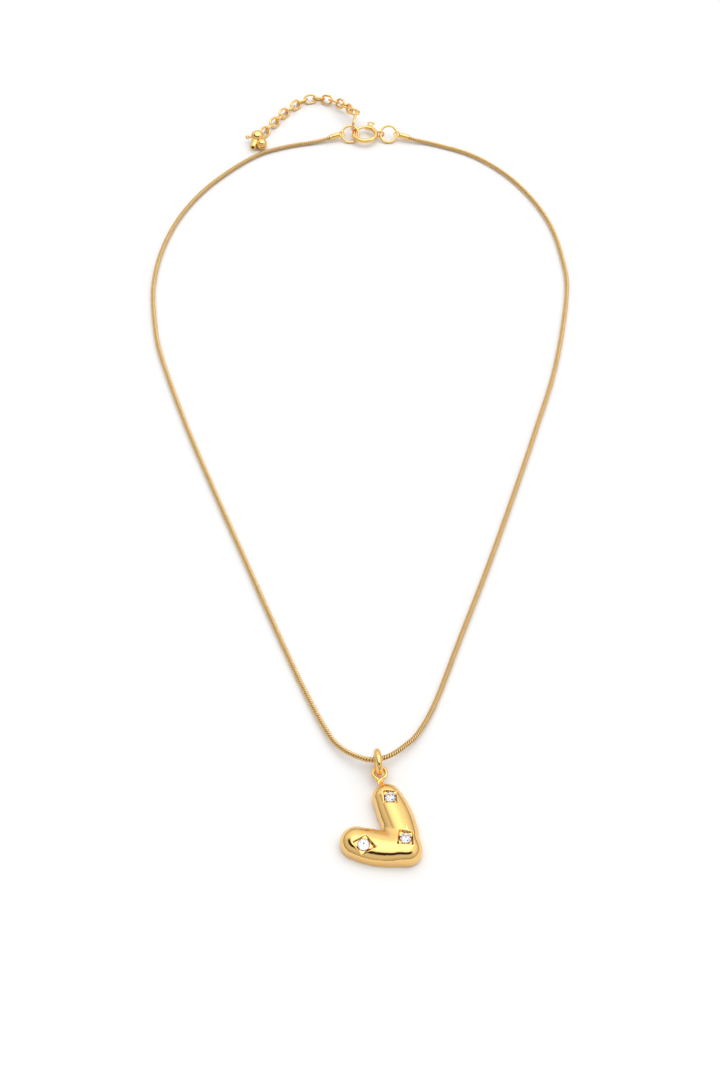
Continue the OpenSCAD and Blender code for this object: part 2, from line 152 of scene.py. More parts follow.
def add_node(tree, kind, **sets):
    """A node of a tree; sets are its own properties, or inputs as i_NAME or i_NUMBER."""
    node = tree.nodes.new(kind)
    for key, value in sets.items():
        if key.startswith("i_"):
            name = key[2:].replace("_", " ")
            node.inputs[int(name) if name.isdigit() else name].default_value = value
        else:
            setattr(node, key, value)
    return node


def wear_group():
    """Fine polish marks: broad cloudiness and hair scratches, as roughness and height."""
    name = "polish_marks"
    if name in bpy.data.node_groups:
        return bpy.data.node_groups[name]
    group = bpy.data.node_groups.new(name, "ShaderNodeTree")
    face = group.interface
    face.new_socket("Vector", in_out="INPUT", socket_type="NodeSocketVector")
    for label, value in (("Roughness", 0.1), ("Cloud", 0.05), ("Scratch", 0.05),
                         ("Cloud Scale", 300.0), ("Scratch Scale", 1500.0)):
        face.new_socket(label, in_out="INPUT", socket_type="NodeSocketFloat").default_value = value
    face.new_socket("Roughness", in_out="OUTPUT", socket_type="NodeSocketFloat")
    face.new_socket("Height", in_out="OUTPUT", socket_type="NodeSocketFloat")
    face.new_socket("Tint", in_out="OUTPUT", socket_type="NodeSocketFloat")
    start = add_node(group, "NodeGroupInput")
    end = add_node(group, "NodeGroupOutput")
    link = group.links.new
    cloud = add_node(group, "ShaderNodeTexNoise", i_Detail=3.0, i_Roughness=0.55)
    link(start.outputs["Vector"], cloud.inputs["Vector"])
    link(start.outputs["Cloud Scale"], cloud.inputs["Scale"])
    stretch = add_node(group, "ShaderNodeMapping", i_Rotation=(0.3, 0.2, 0.7), i_Scale=(1, 9, 3))
    link(start.outputs["Vector"], stretch.inputs["Vector"])
    hair = add_node(group, "ShaderNodeTexNoise", i_Detail=2.0, i_Roughness=0.6)
    link(stretch.outputs[0], hair.inputs["Vector"])
    link(start.outputs["Scratch Scale"], hair.inputs["Scale"])
    thin = add_node(group, "ShaderNodeMapRange", i_1=0.56, i_2=0.72, i_3=0.0, i_4=1.0)
    link(hair.outputs["Fac"], thin.inputs[0])
    centred = add_node(group, "ShaderNodeMath", operation="SUBTRACT", i_1=0.5)
    link(cloud.outputs["Fac"], centred.inputs[0])
    clouded = add_node(group, "ShaderNodeMath", operation="MULTIPLY_ADD")
    link(centred.outputs[0], clouded.inputs[0])
    link(start.outputs["Cloud"], clouded.inputs[1])
    link(start.outputs["Roughness"], clouded.inputs[2])
    marked = add_node(group, "ShaderNodeMath", operation="MULTIPLY_ADD", use_clamp=True)
    link(thin.outputs[0], marked.inputs[0])
    link(start.outputs["Scratch"], marked.inputs[1])
    link(clouded.outputs[0], marked.inputs[2])
    link(marked.outputs[0], end.inputs["Roughness"])
    link(thin.outputs[0], end.inputs["Height"])
    link(cloud.outputs["Fac"], end.inputs["Tint"])
    return group


def polished_metal(name, colour, roughness, cloud, scratch, cloud_scale, scratch_scale, bump,
                   deep=0.9):
    """A polished metal with the polish_marks group behind its colour, roughness and bump."""
    mat = bpy.data.materials.new(name)
    mat.use_nodes = True
    tree = mat.node_tree
    tree.nodes.clear()
    link = tree.links.new
    out = add_node(tree, "ShaderNodeOutputMaterial")
    shader = add_node(tree, "ShaderNodeBsdfPrincipled", i_Metallic=1.0)
    link(shader.outputs[0], out.inputs[0])
    place = add_node(tree, "ShaderNodeTexCoord")
    marks = add_node(tree, "ShaderNodeGroup", node_tree=wear_group())
    link(place.outputs["Object"], marks.inputs["Vector"])
    for label, value in (("Roughness", roughness), ("Cloud", cloud), ("Scratch", scratch),
                         ("Cloud Scale", cloud_scale), ("Scratch Scale", scratch_scale)):
        marks.inputs[label].default_value = value
    tone = add_node(tree, "ShaderNodeMix", data_type="RGBA")
    tone.inputs["A"].default_value = (*[c * deep for c in colour], 1)
    tone.inputs["B"].default_value = (*colour, 1)
    link(marks.outputs["Tint"], tone.inputs["Factor"])
    link(tone.outputs["Result"], shader.inputs["Base Color"])
    link(marks.outputs["Roughness"], shader.inputs["Roughness"])
    rise = add_node(tree, "ShaderNodeBump", i_Strength=bump, i_Distance=0.01 * MM)
    link(marks.outputs["Height"], rise.inputs["Height"])
    link(rise.outputs[0], shader.inputs["Normal"])
    return mat


def stone_material():
    """A clear stone with very slight haze in its facets."""
    mat = bpy.data.materials.new("clear_stone")
    mat.use_nodes = True
    tree = mat.node_tree
    shader = tree.nodes["Principled BSDF"]
    shader.inputs["Base Color"].default_value = (*colours().stone, 1)
    shader.inputs["IOR"].default_value = 2.1
    shader.inputs["Transmission Weight"].default_value = 1.0
    place = add_node(tree, "ShaderNodeTexCoord")
    haze = add_node(tree, "ShaderNodeTexNoise", i_Scale=2500.0, i_Detail=1.0)
    tree.links.new(place.outputs["Object"], haze.inputs["Vector"])
    soft = add_node(tree, "ShaderNodeMapRange", i_3=0.01, i_4=0.05)
    tree.links.new(haze.outputs["Fac"], soft.inputs[0])
    tree.links.new(soft.outputs[0], shader.inputs["Roughness"])
    return mat


def table_material():
    """Smooth white card with a very fine tooth."""
    mat = bpy.data.materials.new("table_card")
    mat.use_nodes = True
    tree = mat.node_tree
    shader = tree.nodes["Principled BSDF"]
    shader.inputs["Roughness"].default_value = 0.85
    shader.inputs["Specular IOR Level"].default_value = 0.1
    place = add_node(tree, "ShaderNodeTexCoord")
    tooth = add_node(tree, "ShaderNodeTexNoise", i_Scale=900.0, i_Detail=2.0)
    tree.links.new(place.outputs["Object"], tooth.inputs["Vector"])
    tone = add_node(tree, "ShaderNodeMix", data_type="RGBA")
    tone.inputs["A"].default_value = (*[c * 0.995 for c in colours().table], 1)
    tone.inputs["B"].default_value = (*colours().table, 1)
    tree.links.new(tooth.outputs["Fac"], tone.inputs["Factor"])
    tree.links.new(tone.outputs["Result"], shader.inputs["Base Color"])
    return mat


def material(name):
    """One of the necklace's materials, made when it is first asked for."""
    if name in bpy.data.materials:
        return bpy.data.materials[name]
    paint = colours()
    if name == "polished_gold":
        return polished_metal(name, paint.gold, paint.polish, 0.05, 0.05, 350.0, 1400.0, 0.12)
    if name == "wire_gold":
        return polished_metal(name, paint.gold, 0.13, 0.08, 0.08, 900.0, 2500.0, 0.2, 0.86)
    if name == "scale_gold":
        return polished_metal(name, paint.chain_gold, 0.22, 0.12, 0.08, 700.0, 2600.0, 0.25, 0.84)
    # The chain's core, dark gold at a fifth of the chain's colour, is painted shade for the
    # grooves between the scales.
    if name == "groove_shade_gold":
        return polished_metal(name, [c * 0.2 for c in paint.chain_gold], 0.45, 0.1, 0.05,
                              900.0, 2600.0, 0.3, 0.8)
    if name == "spring_steel":
        return polished_metal(name, (0.62, 0.6, 0.57), 0.25, 0.1, 0.08, 900.0, 2600.0, 0.2, 0.85)
    if name == "clear_stone":
        return stone_material()
    if name == "table_card":
        return table_material()
    raise KeyError(name)


# ---------------------------------------------------------------- mesh helpers

def finish_piece(obj, body, slot, *nodes, smooth=True):
    """Smooths a piece, says which CAD body it rides on and hides the nodes it replaces; slot is
    not used.
    """
    for poly in obj.data.polygons:
        poly.use_smooth = smooth
    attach(obj, body)
    if nodes:
        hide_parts(*nodes)
    return obj


def mesh_piece(name, points, faces, mat, edges=()):
    """A mesh object at the origin from points in millimetres."""
    mesh = bpy.data.meshes.new(name)
    mesh.from_pydata([tuple(float(c) * MM for c in p) for p in points], list(edges), list(faces))
    mesh.update()
    obj = bpy.data.objects.new(name, mesh)
    bpy.context.scene.collection.objects.link(obj)
    if mat:
        mesh.materials.append(material(mat))
    return obj


def join(name, parts):
    """Several mesh objects as one, each keeping its own materials."""
    for obj in bpy.context.selected_objects:
        obj.select_set(False)
    for obj in parts:
        obj.select_set(True)
    bpy.context.view_layer.objects.active = parts[0]
    bpy.ops.object.join()
    parts[0].name = name
    parts[0].data.name = name
    return parts[0]


def node_points(node):
    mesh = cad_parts[node].data
    co = np.empty(len(mesh.vertices) * 3)
    mesh.vertices.foreach_get("co", co)
    return np.unique(np.round(co.reshape(-1, 3) / MM, 5), axis=0)


def main_axes(node):
    """Centre and three axes, longest first, of a symmetrical CAD node, in millimetres."""
    points = node_points(node)
    centre = points.mean(0)
    _, vectors = np.linalg.eigh(np.cov((points - centre).T))
    axes = vectors.T[::-1].copy()
    spans = [np.ptp(points @ a) for a in axes]
    centre = sum(axes[i] * (points @ axes[i]).min() + axes[i] * spans[i] / 2 for i in range(3))
    axes[2] = np.cross(axes[0], axes[1])
    return centre, axes, spans


def place(points, centre, axes):
    """Points given along a set of axes, as points of the frame."""
    return np.asarray(points, float) @ np.asarray(axes, float) + np.asarray(centre, float)


def frame_along(direction, up=(0, 0, 1)):
    """Rows: a direction, and two axes square to it, the last one nearest up."""
    x = np.asarray(direction, float) / np.linalg.norm(direction)
    y = np.cross(up, x)
    y /= np.linalg.norm(y)
    return np.array([x, y, np.cross(x, y)])


def lathe(name, profile, centre, axes, mat, sides=48):
    """A closed solid of revolution about the first axis; profile is (radius, along) pairs."""
    points, rows = [], []
    for r, x in profile:
        if r < 1e-6:
            rows.append([len(points)] * sides)
            points.append((x, 0, 0))
        else:
            rows.append(list(range(len(points), len(points) + sides)))
            points += [(x, r * math.cos(TAU * k / sides), r * math.sin(TAU * k / sides))
                       for k in range(sides)]
    faces = []
    for a, b in zip(rows, rows[1:]):
        for k in range(sides):
            corners = (a[k], a[(k + 1) % sides], b[(k + 1) % sides], b[k])
            face = tuple(dict.fromkeys(corners))
            if len(face) > 2:
                faces.append(face)
    obj = mesh_piece(name, place(points, centre, axes), faces, mat)
    outward(obj)
    return obj


def outward(obj):
    """Turns all faces of a closed mesh outwards, after merging its doubles."""
    bm = bmesh.new()
    bm.from_mesh(obj.data)
    bmesh.ops.remove_doubles(bm, verts=bm.verts, dist=1e-7)
    bmesh.ops.recalc_face_normals(bm, faces=bm.faces)
    bm.to_mesh(obj.data)
    bm.free()
    return obj


def arc(r, start, end, steps):
    return [(r * math.cos(math.radians(start + (end - start) * i / steps)),
             r * math.sin(math.radians(start + (end - start) * i / steps)), 0)
            for i in range(steps + 1)]


def smooth_path(points, steps):
    """A closed or open Catmull-Rom path through points."""
    points = [np.array(p, float) for p in points]
    last = len(points) - 1
    line = []
    for i in range(last):
        a, b, c, d = (points[min(max(k, 0), last)] for k in (i - 1, i, i + 1, i + 2))
        for t in np.linspace(0, 1, steps, endpoint=False):
            line.append(0.5 * (2 * b + (c - a) * t + (2 * a - 5 * b + 4 * c - d) * t ** 2
                               + (3 * b - a - 3 * c + d) * t ** 3))
    return line + [points[-1]]


def oval(length, width, steps=14):
    """An oval of centre line length and width, open at a small cut on one long side."""
    bend, half = width / 2, (length - width) / 2
    right = [(x + half, y, 0) for x, y, _ in arc(bend, -90, 90, steps)]
    left = [(x - half, y, 0) for x, y, _ in arc(bend, 90, 270, steps)]
    cut = sizes().wire_gap / MM / 2
    return [(cut, -bend, 0)] + right + left + [(-cut, -bend, 0)]


# ---------------------------------------------------------------- geometry nodes

def wire_tree():
    """Round wire along an edge path: inputs Wire Diameter, Sides and Material."""
    name = "wire_on_path"
    if name in bpy.data.node_groups:
        return bpy.data.node_groups[name]
    tree = bpy.data.node_groups.new(name, "GeometryNodeTree")
    face = tree.interface
    face.new_socket("Geometry", in_out="INPUT", socket_type="NodeSocketGeometry")
    face.new_socket("Wire Diameter", in_out="INPUT", socket_type="NodeSocketFloat")
    face.new_socket("Sides", in_out="INPUT", socket_type="NodeSocketInt")
    face.new_socket("Material", in_out="INPUT", socket_type="NodeSocketMaterial")
    face.new_socket("Geometry", in_out="OUTPUT", socket_type="NodeSocketGeometry")
    start = add_node(tree, "NodeGroupInput")
    end = add_node(tree, "NodeGroupOutput")
    link = tree.links.new
    path = add_node(tree, "GeometryNodeMeshToCurve")
    link(start.outputs["Geometry"], path.inputs[0])
    half = add_node(tree, "ShaderNodeMath", operation="MULTIPLY", i_1=0.5)
    link(start.outputs["Wire Diameter"], half.inputs[0])
    round_ = add_node(tree, "GeometryNodeCurvePrimitiveCircle")
    link(start.outputs["Sides"], round_.inputs["Resolution"])
    link(half.outputs[0], round_.inputs["Radius"])
    wire = add_node(tree, "GeometryNodeCurveToMesh")
    wire.inputs["Fill Caps"].default_value = True
    link(path.outputs[0], wire.inputs["Curve"])
    link(round_.outputs["Curve"], wire.inputs["Profile Curve"])
    real = add_node(tree, "GeometryNodeRealizeInstances")
    link(wire.outputs[0], real.inputs[0])
    paint = add_node(tree, "GeometryNodeSetMaterial")
    link(real.outputs[0], paint.inputs["Geometry"])
    link(start.outputs["Material"], paint.inputs["Material"])
    link(paint.outputs[0], end.inputs[0])
    return tree


def chain_tree():
    """Scales set along an edge path round a core whose dark material is painted shade in the
    grooves: inputs Scale, Pitch, Core Diameter, Material and Core Material."""
    tree = bpy.data.node_groups.new("scales_on_path", "GeometryNodeTree")
    face = tree.interface
    face.new_socket("Geometry", in_out="INPUT", socket_type="NodeSocketGeometry")
    face.new_socket("Scale", in_out="INPUT", socket_type="NodeSocketObject")
    face.new_socket("Pitch", in_out="INPUT", socket_type="NodeSocketFloat")
    face.new_socket("Core Diameter", in_out="INPUT", socket_type="NodeSocketFloat")
    face.new_socket("Material", in_out="INPUT", socket_type="NodeSocketMaterial")
    face.new_socket("Core Material", in_out="INPUT", socket_type="NodeSocketMaterial")
    face.new_socket("Geometry", in_out="OUTPUT", socket_type="NodeSocketGeometry")
    start = add_node(tree, "NodeGroupInput")
    end = add_node(tree, "NodeGroupOutput")
    link = tree.links.new
    path = add_node(tree, "GeometryNodeMeshToCurve")
    link(start.outputs["Geometry"], path.inputs[0])
    level = add_node(tree, "GeometryNodeSetCurveNormal", mode="Z_UP")
    link(path.outputs[0], level.inputs[0])
    spaced = add_node(tree, "GeometryNodeResampleCurve", mode="LENGTH")
    link(level.outputs[0], spaced.inputs["Curve"])
    link(start.outputs["Pitch"], spaced.inputs["Length"])
    pick = add_node(tree, "GeometryNodeObjectInfo")
    link(start.outputs["Scale"], pick.inputs["Object"])
    turn = add_node(tree, "FunctionNodeAxesToRotation", primary_axis="Z", secondary_axis="X")
    link(add_node(tree, "GeometryNodeInputTangent").outputs[0], turn.inputs[0])
    link(add_node(tree, "GeometryNodeInputNormal").outputs[0], turn.inputs[1])
    scatter = add_node(tree, "GeometryNodeInstanceOnPoints")
    link(spaced.outputs[0], scatter.inputs["Points"])
    link(pick.outputs["Geometry"], scatter.inputs["Instance"])
    link(turn.outputs[0], scatter.inputs["Rotation"])
    real = add_node(tree, "GeometryNodeRealizeInstances")
    link(scatter.outputs[0], real.inputs[0])
    paint = add_node(tree, "GeometryNodeSetMaterial")
    link(real.outputs[0], paint.inputs["Geometry"])
    link(start.outputs["Material"], paint.inputs["Material"])
    half = add_node(tree, "ShaderNodeMath", operation="MULTIPLY", i_1=0.5)
    link(start.outputs["Core Diameter"], half.inputs[0])
    round_ = add_node(tree, "GeometryNodeCurvePrimitiveCircle", i_Resolution=12)
    link(half.outputs[0], round_.inputs["Radius"])
    core = add_node(tree, "GeometryNodeCurveToMesh")
    core.inputs["Fill Caps"].default_value = True
    link(level.outputs[0], core.inputs["Curve"])
    link(round_.outputs["Curve"], core.inputs["Profile Curve"])
    paint_core = add_node(tree, "GeometryNodeSetMaterial")
    link(core.outputs[0], paint_core.inputs["Geometry"])
    link(start.outputs["Core Material"], paint_core.inputs["Material"])
    both = add_node(tree, "GeometryNodeJoinGeometry")
    link(paint.outputs[0], both.inputs[0])
    link(paint_core.outputs[0], both.inputs[0])
    link(both.outputs[0], end.inputs[0])
    return tree


def grown(name, path, tree, inputs):
    """The plain mesh that a Geometry Nodes tree makes from a path of points, in millimetres."""
    edges = [(i, i + 1) for i in range(len(path) - 1)]
    seed = mesh_piece(name + "_path", path, [], None, edges)
    modifier = seed.modifiers.new("grow", "NODES")
    modifier.node_group = tree
    for item in tree.interface.items_tree:
        if item.in_out == "INPUT" and item.name in inputs:
            modifier[item.identifier] = inputs[item.name]
    bpy.context.view_layer.update()
    shape = seed.evaluated_get(bpy.context.evaluated_depsgraph_get())
    mesh = bpy.data.meshes.new_from_object(shape)
    mesh.name = name
    bpy.data.objects.remove(seed)
    obj = bpy.data.objects.new(name, mesh)
    bpy.context.scene.collection.objects.link(obj)
    return outward(obj)


def wire(name, path, diameter, mat="wire_gold", sides=20):
    """Round wire along a path of points, in millimetres."""
    return grown(name, path, wire_tree(),
                 {"Wire Diameter": diameter * MM, "Sides": sides, "Material": material(mat)})


def ring_path(node, steps=72):
    """Path of a round ring that a CAD node stands for, cut open at one side."""
    centre, axes, spans = main_axes(node)
    r = (spans[0] - spans[2]) / 2
    cut = math.degrees(sizes().wire_gap / MM / r / 2)
    return place(arc(r, 90 + cut, 450 - cut, steps), centre, axes)


# ---------------------------------------------------------------- the chain

def chain_line(steps):
    """Points of a smooth curve through ROUTE."""
    return smooth_path(ROUTE, steps)


def chain_scale():
    """One wavy scale ring of the chain, open at its two edges, which lie below the core."""
    radius = sizes().chain_d / MM / 2
    pitch = sizes().scale_pitch / MM
    wave = sizes().scale_wave / MM
    section = ((-0.34, -0.2), (-0.28, -0.04), (-0.05, 0.0), (0.2, -0.04), (0.3, -0.2))
    sides = 16
    points = [((radius + drop) * math.cos(TAU * k / sides),
               (radius + drop) * math.sin(TAU * k / sides),
               along * pitch + wave * math.sin(2 * TAU * k / sides))
              for k in range(sides) for along, drop in section]
    rows = len(section)
    faces = [(k * rows + j, (k + 1) % sides * rows + j,
              (k + 1) % sides * rows + j + 1, k * rows + j + 1)
             for k in range(sides) for j in range(rows - 1)]
    return mesh_piece("chain_scale", points, faces, None)


class NECKLACE_OT_camera(bpy.types.Operator):
    """Set the camera over the table, looking down at the whole necklace"""

    bl_idname = "necklace.camera"
    bl_label = "Camera"

    def execute(self, context):
        data = bpy.data.cameras.new("camera")
        data.lens = 55
        data.sensor_width = 36
        data.sensor_fit = "AUTO"
        camera = bpy.data.objects.new("camera", data)
        camera.location = (-0.0052, -0.1285, 0.2274)
        camera.rotation_euler = (math.radians(39.806), 0, 0)
        data.clip_start = 0.01
        context.scene.collection.objects.link(camera)
        context.scene.camera = camera
        return {"FINISHED"}


class NECKLACE_OT_chain(bpy.types.Operator):
    """Make the snake chain from wavy scales along its route"""

    bl_idname = "necklace.chain"
    bl_label = "Snake Chain"

    def execute(self, context):
        size = sizes()
        scale = chain_scale()
        # The core under the scales carries a dark gold: painted shade in the grooves between the
        # scales.
        chain = grown("snake_chain_scales", chain_line(16), chain_tree(), {
            "Scale": scale, "Pitch": size.scale_pitch,
            "Core Diameter": size.chain_d - 0.3 * MM,
            "Material": material("scale_gold"), "Core Material": material("groove_shade_gold")})
        bpy.data.objects.remove(scale)
        finish_piece(chain, "chain", "chain_gold", "snake_chain")
        return {"FINISHED"}


# ---------------------------------------------------------------- caps and rings

def end_cap(name, node, eye_wire, eye_id, barrel_d, barrel_len, chain_end, chain_next):
    """An end cap: a barrel with a rolled rim, and the small eye soldered to it."""
    start, nxt = np.array(chain_end, float), np.array(chain_next, float)
    out = frame_along(start - nxt)
    points = node_points(node)
    reach = points @ out[0]
    tip = reach.max()
    eye_x = tip - eye_id / 2 - eye_wire
    centre_line = start + out[0] * (eye_x - start @ out[0])
    _, axes, _ = main_axes("end_ring_left" if "left" in node else "end_ring_right")
    across = np.array(axes[2])
    toward = points[reach > tip - eye_wire]
    spread = toward - toward.mean(0)
    _, vectors = np.linalg.eigh(np.cov(spread.T))
    normal = vectors.T[0]
    normal = normal if abs(normal @ out[0]) < 0.7 else across
    normal = normal - out[0] * (normal @ out[0])
    normal /= np.linalg.norm(normal)
    side = np.cross(normal, out[0])
    loop = wire(name + "_eye", place(arc((eye_id + eye_wire) / 2, 0, 360, 40),
                                     centre_line, [out[0], side, normal]), eye_wire)
    front = -eye_id / 2 - 0.07
    back = front - barrel_len
    r = barrel_d / 2
    bore = sizes().chain_d / MM / 2 + 0.01
    profile = [(0, front - 0.3), (bore, front - 0.3), (bore, back + 0.06), (bore + 0.02, back),
               (r - 0.03, back), (r, back + 0.04), (r, back + 0.22), (r - 0.05, back + 0.3),
               (r - 0.05, back + 0.42), (r, back + 0.5), (r, front - 0.28),
               (r * 0.93, front - 0.12), (r * 0.72, front - 0.02), (r * 0.3, front + 0.02),
               (0, front + 0.02)]
    barrel = lathe(name + "_barrel", profile, centre_line, out, "wire_gold", 40)
    return join(name, [barrel, loop])


class NECKLACE_OT_caps(bpy.types.Operator):
    """Make the two end caps with their eyes"""

    bl_idname = "necklace.caps"
    bl_label = "End Caps"

    def execute(self, context):
        ends = {"left": (ROUTE[0], ROUTE[1]), "right": (ROUTE[-1], ROUTE[-2])}
        for side, (end, after) in ends.items():
            node = f"end_cap_{side}"
            cap = end_cap(node + "_turned", node, CAP_EYE_WIRE, CAP_EYE_ID, CAP_D, CAP_LEN,
                          end, after)
            finish_piece(cap, "chain", "gold", node)
        return {"FINISHED"}


class NECKLACE_OT_rings(bpy.types.Operator):
    """Make the end rings, the connector and every extender link from cut wire"""

    bl_idname = "necklace.rings"
    bl_label = "Rings and Links"

    def execute(self, context):
        for side in ("left", "right"):
            node = f"end_ring_{side}"
            ring = wire(node + "_wire", ring_path(node), RING_WIRE)
            finish_piece(ring, side + "_ring", "gold", node)
        for node in ["connector_ring", *LINKS, "drop_link"]:
            centre, axes, spans = main_axes(node)
            path = place(oval(spans[0] - RING_WIRE, spans[1] - RING_WIRE), centre, axes)
            body = node.replace("extender_", "").replace("_ring", "")
            link = wire(node + "_wire", path, RING_WIRE, sides=18)
            finish_piece(link, body, "gold", node)
        return {"FINISHED"}


# ---------------------------------------------------------------- the clasp

class NECKLACE_OT_clasp(bpy.types.Operator):
    """Make the spring ring clasp: tube, eye, bolt with its thumb nub, and spring"""

    bl_idname = "necklace.clasp"
    bl_label = "Clasp"

    def execute(self, context):
        eye_low, eye_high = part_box("clasp_eye")
        body_low, body_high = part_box("clasp_body")
        centre = np.array([(body_low.x + body_high.x) / 2, 0, (eye_low.z + eye_high.z) / 2]) / MM
        points = node_points("clasp_body")
        right, near = points[:, 0].max(), points[:, 1].min()
        r = CLASP_R - CLASP_TUBE / 2
        centre[0], centre[1] = right - CLASP_R, near + CLASP_R
        flat = np.eye(3)
        path = place(arc(r, *CLASP_MOUTH, 96), centre, flat)
        body = wire("clasp_tube_run", path, CLASP_TUBE, "polished_gold", 28)
        parts = [body]
        for turn in CLASP_MOUTH:
            a = math.radians(turn)
            at = centre + r * np.array([math.cos(a), math.sin(a), 0])
            way = -1 if turn == CLASP_MOUTH[0] else 1
            along = np.array([-math.sin(a), math.cos(a), 0]) * way
            lip = [(0.3, -0.2), (0.5, -0.2), (0.54, -0.14), (0.54, 0.0), (0.49, 0.05),
                   (0.32, 0.05), (0.3, 0.0), (0.3, -0.2)]
            parts.append(lathe(f"clasp_lip_{turn}", lip, at, frame_along(along), "polished_gold"))
        finish_piece(join("clasp_tube", parts), "clasp", "gold", "clasp_body")
        ring = wire("clasp_eye_wire", ring_path("clasp_eye", 48), CLASP_EYE_WIRE)
        finish_piece(ring, "clasp", "gold", "clasp_eye")
        bolt = wire("clasp_bolt", place(arc(r, *BOLT_SPAN, 40), centre, flat), BOLT_D,
                    "polished_gold", 20)
        turn = math.radians(NUB_TURN)
        out = np.array([math.cos(turn), math.sin(turn), 0])
        nub_axes = np.array([out, np.cross((0, 0, 1), out), (0, 0, 1)])
        stem = wire("clasp_stem", place([(r, 0, 0), (3.25, 0, 0)], centre, nub_axes), 0.4)
        thumb = [(3.2, 0, 0), (3.34, 0.18, 0), (3.66, 0.48, 0), (4.06, 0.7, 0), (4.36, 0.64, 0),
                 (4.48, 0.34, 0), (4.5, 0, 0), (4.48, -0.34, 0), (4.36, -0.64, 0),
                 (4.06, -0.7, 0), (3.66, -0.48, 0), (3.34, -0.18, 0), (3.2, 0, 0)]
        loop = wire("clasp_thumb", place(smooth_path(thumb, 5), centre, nub_axes), 0.36)
        finish_piece(join("clasp_bolt_nub", [bolt, stem, loop]), "trigger", "gold",
                     "clasp_trigger")
        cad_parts["clasp_spring"].data.materials.clear()
        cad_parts["clasp_spring"].data.materials.append(material("spring_steel"))
        return {"FINISHED"}


# ---------------------------------------------------------------- the end drop

def sphere_profile(r, steps=28):
    return [(r * math.sin(math.pi * i / steps), -r * math.cos(math.pi * i / steps))
            for i in range(steps + 1)]


class NECKLACE_OT_drop(bpy.types.Operator):
    """Give the end drop's ball, bead, small tube and curled pin, kept from the CAD, their gold"""

    bl_idname = "necklace.drop"
    bl_label = "End Drop"

    def execute(self, context):
        for node, mat in (("drop_ball", "polished_gold"), ("drop_bead", "polished_gold"),
                          ("drop_tube", "wire_gold"), ("drop_pin", "wire_gold")):
            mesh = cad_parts[node].data
            mesh.materials.clear()
            mesh.materials.append(material(mat))
        return {"FINISHED"}


# ---------------------------------------------------------------- the pendant

UPPER = ((-0.95, 7.0), (0.94, 2.87), (2.1, -2.35), 2.35, 2.72, 2.15)
LEFT = ((-5.75, -0.85), (-2.37, -2.0), (2.1, -2.35), 2.55, 2.76, 2.15)
WALL = 1.55
CROWN = 1.7
STARS = (
    ("stone_upper", (-0.45, 6.15, 2.98), 0, 45, 1.7),
    ("stone_tip", (1.85, -1.1, 2.92), 0, 40, 1.8),
    ("stone_left", (-4.65, -2.2, 2.8), 20, -12, 1.95),
)


def lobe_share(x, y, lobe):
    """Distance from a lobe's curved ridge over its radius there, and that radius."""
    a, b, c = (np.array(p) for p in lobe[:3])
    best, where = np.full(x.shape, 1e9), np.zeros(x.shape)
    for t in np.linspace(0, 1, 33):
        p = (1 - t) ** 2 * a + 2 * t * (1 - t) * b + t * t * c
        d = (x - p[0]) ** 2 + (y - p[1]) ** 2
        near = d < best
        best[near], where[near] = d[near], t
    t = where
    for _ in range(4):
        px = (1 - t) ** 2 * a[0] + 2 * t * (1 - t) * b[0] + t * t * c[0] - x
        py = (1 - t) ** 2 * a[1] + 2 * t * (1 - t) * b[1] + t * t * c[1] - y
        dx = 2 * (1 - t) * (b[0] - a[0]) + 2 * t * (c[0] - b[0])
        dy = 2 * (1 - t) * (b[1] - a[1]) + 2 * t * (c[1] - b[1])
        slope = px * dx + py * dy
        bend = dx * dx + dy * dy + px * 2 * (a[0] - 2 * b[0] + c[0]) \
            + py * 2 * (a[1] - 2 * b[1] + c[1])
        t = np.clip(t - slope / np.maximum(bend, 1.0), 0, 1)
    px = (1 - t) ** 2 * a[0] + 2 * t * (1 - t) * b[0] + t * t * c[0] - x
    py = (1 - t) ** 2 * a[1] + 2 * t * (1 - t) * b[1] + t * t * c[1] - y
    s, m, e = lobe[3:]
    r = s + (4 * m - 3 * s - e) * t + (2 * s + 2 * e - 4 * m) * t * t
    return np.sqrt(px * px + py * py + 1e-12) / r, r


def soft_max(a, b, k):
    h = np.clip(0.5 + 0.5 * (a - b) / k, 0, 1)
    return b + (a - b) * h + k * h * (1 - h)


def heart_field(p):
    """Below 0 inside the heart, above 0 outside it; p is an array of points."""
    x, y, z = p[..., 0], p[..., 1], p[..., 2]
    size = sizes()
    edge = size.star_round / MM
    lobes = []
    for lobe in (UPPER, LEFT):
        share, r = lobe_share(x, y, lobe)
        dome = (r * r + CROWN * CROWN) / (2 * CROWN)
        cap = np.hypot(share * r, z - (WALL + CROWN - dome)) - dome
        lobes.append(soft_max((share - 1) * r, cap, size.heart_edge / MM))
    body = -soft_max(-lobes[0], -lobes[1], size.heart_blend / MM)
    body = soft_max(body, -z, 0.18)
    for _, at, tilt, turn, reach in STARS:
        c, s = math.cos(math.radians(tilt)), math.sin(math.radians(tilt))
        dx, dy, dz = x - at[0], y - at[1], z - at[2]
        ly, lz = dy * c + dz * s, dz * c - dy * s
        ct, st = math.cos(math.radians(turn)), math.sin(math.radians(turn))
        u = np.sqrt((dx * ct + ly * st) ** 2 + 0.01)
        v = np.sqrt((ly * ct - dx * st) ** 2 + 0.01)
        star = (((u / reach) ** 0.84 + (v / reach) ** 0.84) ** (1 / 0.84) - 1) * 0.8
        slope = star + 0.35 * (0.1 - lz)
        cut = soft_max(slope, -(lz + 0.2), 0.05)
        seat = np.maximum(np.hypot(dx, ly) - 0.9, -(lz + 1.12))
        body = soft_max(body, -cut, edge)
        body = np.maximum(body, -seat)
    return body


